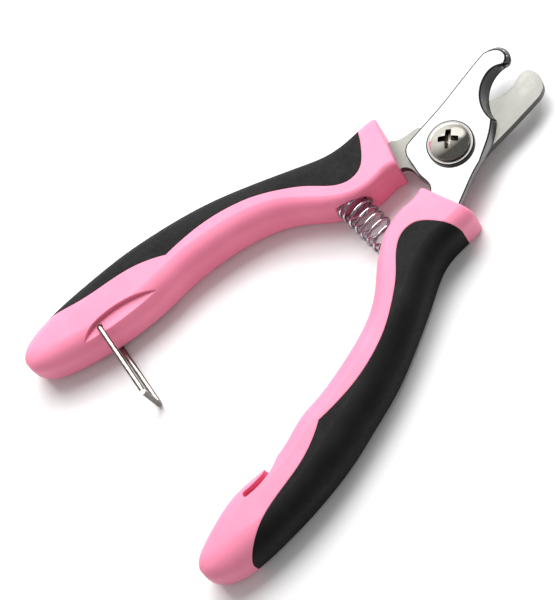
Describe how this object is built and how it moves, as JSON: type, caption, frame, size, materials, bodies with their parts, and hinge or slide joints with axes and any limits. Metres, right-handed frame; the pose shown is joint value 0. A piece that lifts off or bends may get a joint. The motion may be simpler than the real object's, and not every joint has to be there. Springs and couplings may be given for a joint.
{
  "type": "scissor nail clipper",
  "caption": "Scissor-action pet nail clipper: notched steel blades on a screw pivot, soft-grip handles, a coil return spring and a wire latch loop.",
  "frame": {"origin": "on the pivot axis, at the rear end of the pivot screw, in the plane that the clipper rests on", "axes": "+Z out of the screw head, +Y along the bisector of the open handles towards the blade tips, +X towards the right handle, which carries the front blade"},
  "size_m": [0.0768, 0.1246, 0.011],
  "materials": {
    "polished_steel": "mirror-polished stainless steel",
    "brushed_steel": "satin stainless steel, brushed along the blade",
    "handle_plastic": "satin injection-moulded plastic, pink",
    "grip_rubber": "matte thermoplastic rubber with a fine grain, black",
    "plated_steel": "bright nickel plate",
    "washer_steel": "zinc-plated steel",
    "spring_steel": "bright drawn spring wire",
    "latch_wire": "bright nickel-plated wire"
  },
  "bodies": {
    "right_half": {"front_blade": "polished_steel", "right_handle_core": "handle_plastic", "right_grip": "grip_rubber", "pivot_screw": "plated_steel", "front_washer": "washer_steel", "rear_washer": "washer_steel", "lock_nut": "washer_steel", "return_spring": "spring_steel"},
    "left_half": {"rear_blade": "brushed_steel", "left_handle_core": "handle_plastic", "left_grip": "grip_rubber"},
    "latch": {"latch_loop": "latch_wire"}
  },
  "joints": [
    {"name": "handle_pivot", "type": "hinge", "parent": "right_half", "child": "left_half", "pos_m": [0, 0, 0.0055], "axis": [0, 0, 1], "range_deg": [0, 20], "stiffness_Nm_per_rad": 0.6, "deforming": ["return_spring"]},
    {"name": "latch_swing", "type": "hinge", "parent": "left_half", "child": "latch", "pos_m": [-0.0258, -0.0825, 0.0055], "axis": [0, 0, 1], "range_deg": [-68, 76]}
  ]
}
